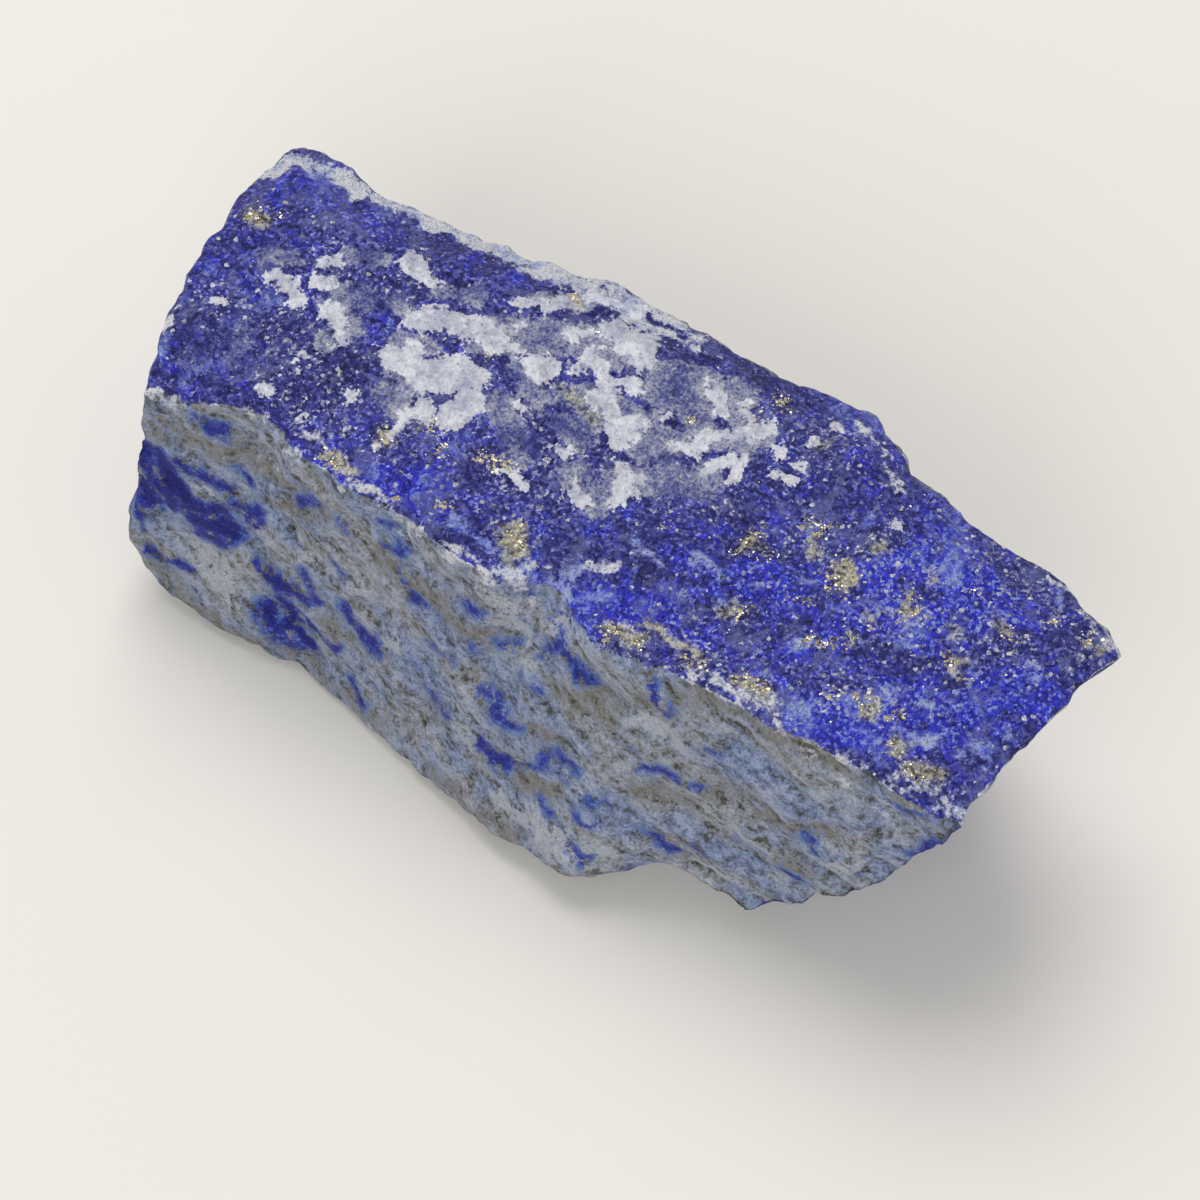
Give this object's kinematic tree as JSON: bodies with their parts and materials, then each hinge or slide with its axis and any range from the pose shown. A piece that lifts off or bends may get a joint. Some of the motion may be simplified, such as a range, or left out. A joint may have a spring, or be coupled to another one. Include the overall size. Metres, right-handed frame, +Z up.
{
  "type": "rough lapis lazuli specimen",
  "caption": "Rough broken bar of lapis lazuli: a granular blue top with white calcite and brassy pyrite, a foliated grey-blue front, and a flat patch underneath to rest on.",
  "frame": {"origin": "on the resting plane, under the middle of the stone's bounding box", "axes": "+Z up from the resting patch, +X along the bar to its undercut end, -Y out of the foliated front"},
  "size_m": [0.0412, 0.0196, 0.0137],
  "materials": {
    "lapis_lazuli": "rough broken rock, granular ultramarine with white calcite, pyrite flecks and grey-blue foliated sides"
  },
  "bodies": {
    "root": {"lapis_lazuli_stone": "lapis_lazuli"}
  },
  "joints": []
}
